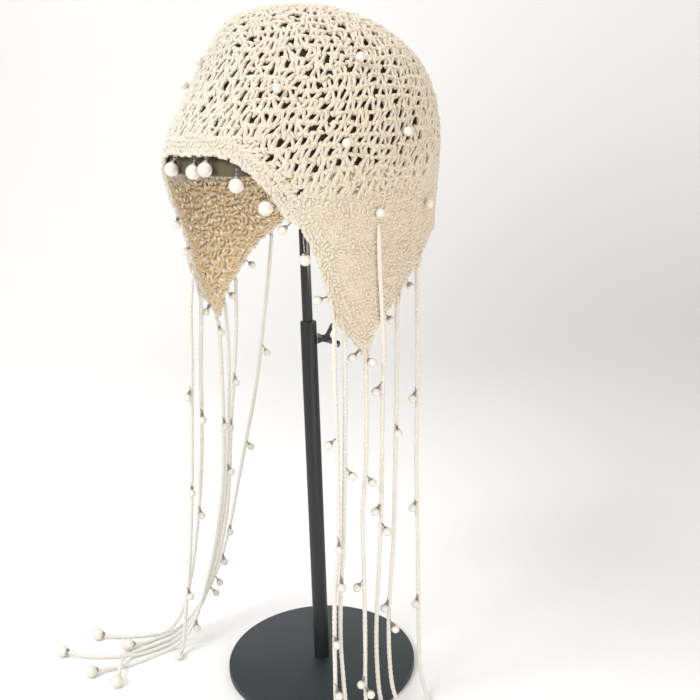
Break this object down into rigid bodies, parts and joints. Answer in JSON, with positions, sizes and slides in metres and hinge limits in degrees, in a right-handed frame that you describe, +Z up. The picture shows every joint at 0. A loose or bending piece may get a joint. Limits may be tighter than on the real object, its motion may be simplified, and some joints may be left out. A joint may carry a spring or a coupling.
{
  "type": "crocheted ear flap hat on a hat stand",
  "caption": "Openwork crocheted cap with pointed ear flaps, hanging pearls and long cords with pearl ends, on a plain disc stand with a dome.",
  "frame": {"origin": "centre of the underside of the stand's disc", "axes": "+Z up along the pole, -Y the way the wearer faces, +X the wearer's left"},
  "size_m": [0.3346, 0.2521, 0.503],
  "materials": {
    "cream_yarn": "matte",
    "pearl": "pearly gloss",
    "black_paint": "satin"
  },
  "bodies": {
    "root": {"crown": "cream_yarn", "ear_flap_left": "cream_yarn", "ear_flap_right": "cream_yarn", "cord_right_1": "cream_yarn", "cord_right_2": "cream_yarn", "cord_right_3": "cream_yarn", "cord_right_4": "cream_yarn", "cord_right_5": "cream_yarn", "cord_right_6": "cream_yarn", "cord_left_1": "cream_yarn", "cord_left_2": "cream_yarn", "cord_left_3": "cream_yarn", "cord_left_4": "cream_yarn", "cord_left_5": "cream_yarn", "cord_left_6": "cream_yarn", "crown_pearl_01": "pearl", "crown_pearl_02": "pearl", "crown_pearl_03": "pearl", "crown_pearl_04": "pearl", "crown_pearl_05": "pearl", "crown_pearl_06": "pearl", "crown_pearl_07": "pearl", "crown_pearl_08": "pearl", "crown_pearl_09": "pearl", "crown_pearl_10": "pearl", "crown_pearl_11": "pearl", "crown_pearl_12": "pearl", "front_pearl_1": "pearl", "front_pearl_2": "pearl", "front_pearl_3": "pearl", "front_pearl_4": "pearl", "front_pearl_5": "pearl", "corner_pearl": "pearl", "edge_charm_01": "pearl", "edge_charm_02": "pearl", "edge_charm_03": "pearl", "edge_charm_04": "pearl", "edge_charm_05": "pearl", "edge_charm_06": "pearl", "edge_charm_07": "pearl", "edge_charm_08": "pearl", "edge_charm_09": "pearl", "edge_charm_10": "pearl", "end_pearl_right_1": "pearl", "end_pearl_right_2": "pearl", "end_pearl_right_3": "pearl", "end_pearl_right_4": "pearl", "end_pearl_right_5": "pearl", "end_pearl_right_6": "pearl", "end_pearl_left_1": "pearl", "end_pearl_left_2": "pearl", "end_pearl_left_3": "pearl", "end_pearl_left_4": "pearl", "end_pearl_left_5": "pearl", "end_pearl_left_6": "pearl", "stand_base": "black_paint", "stand_tube": "black_paint", "stand_rod": "black_paint", "wing_screw": "black_paint", "stand_dome": "black_paint"}
  },
  "joints": []
}
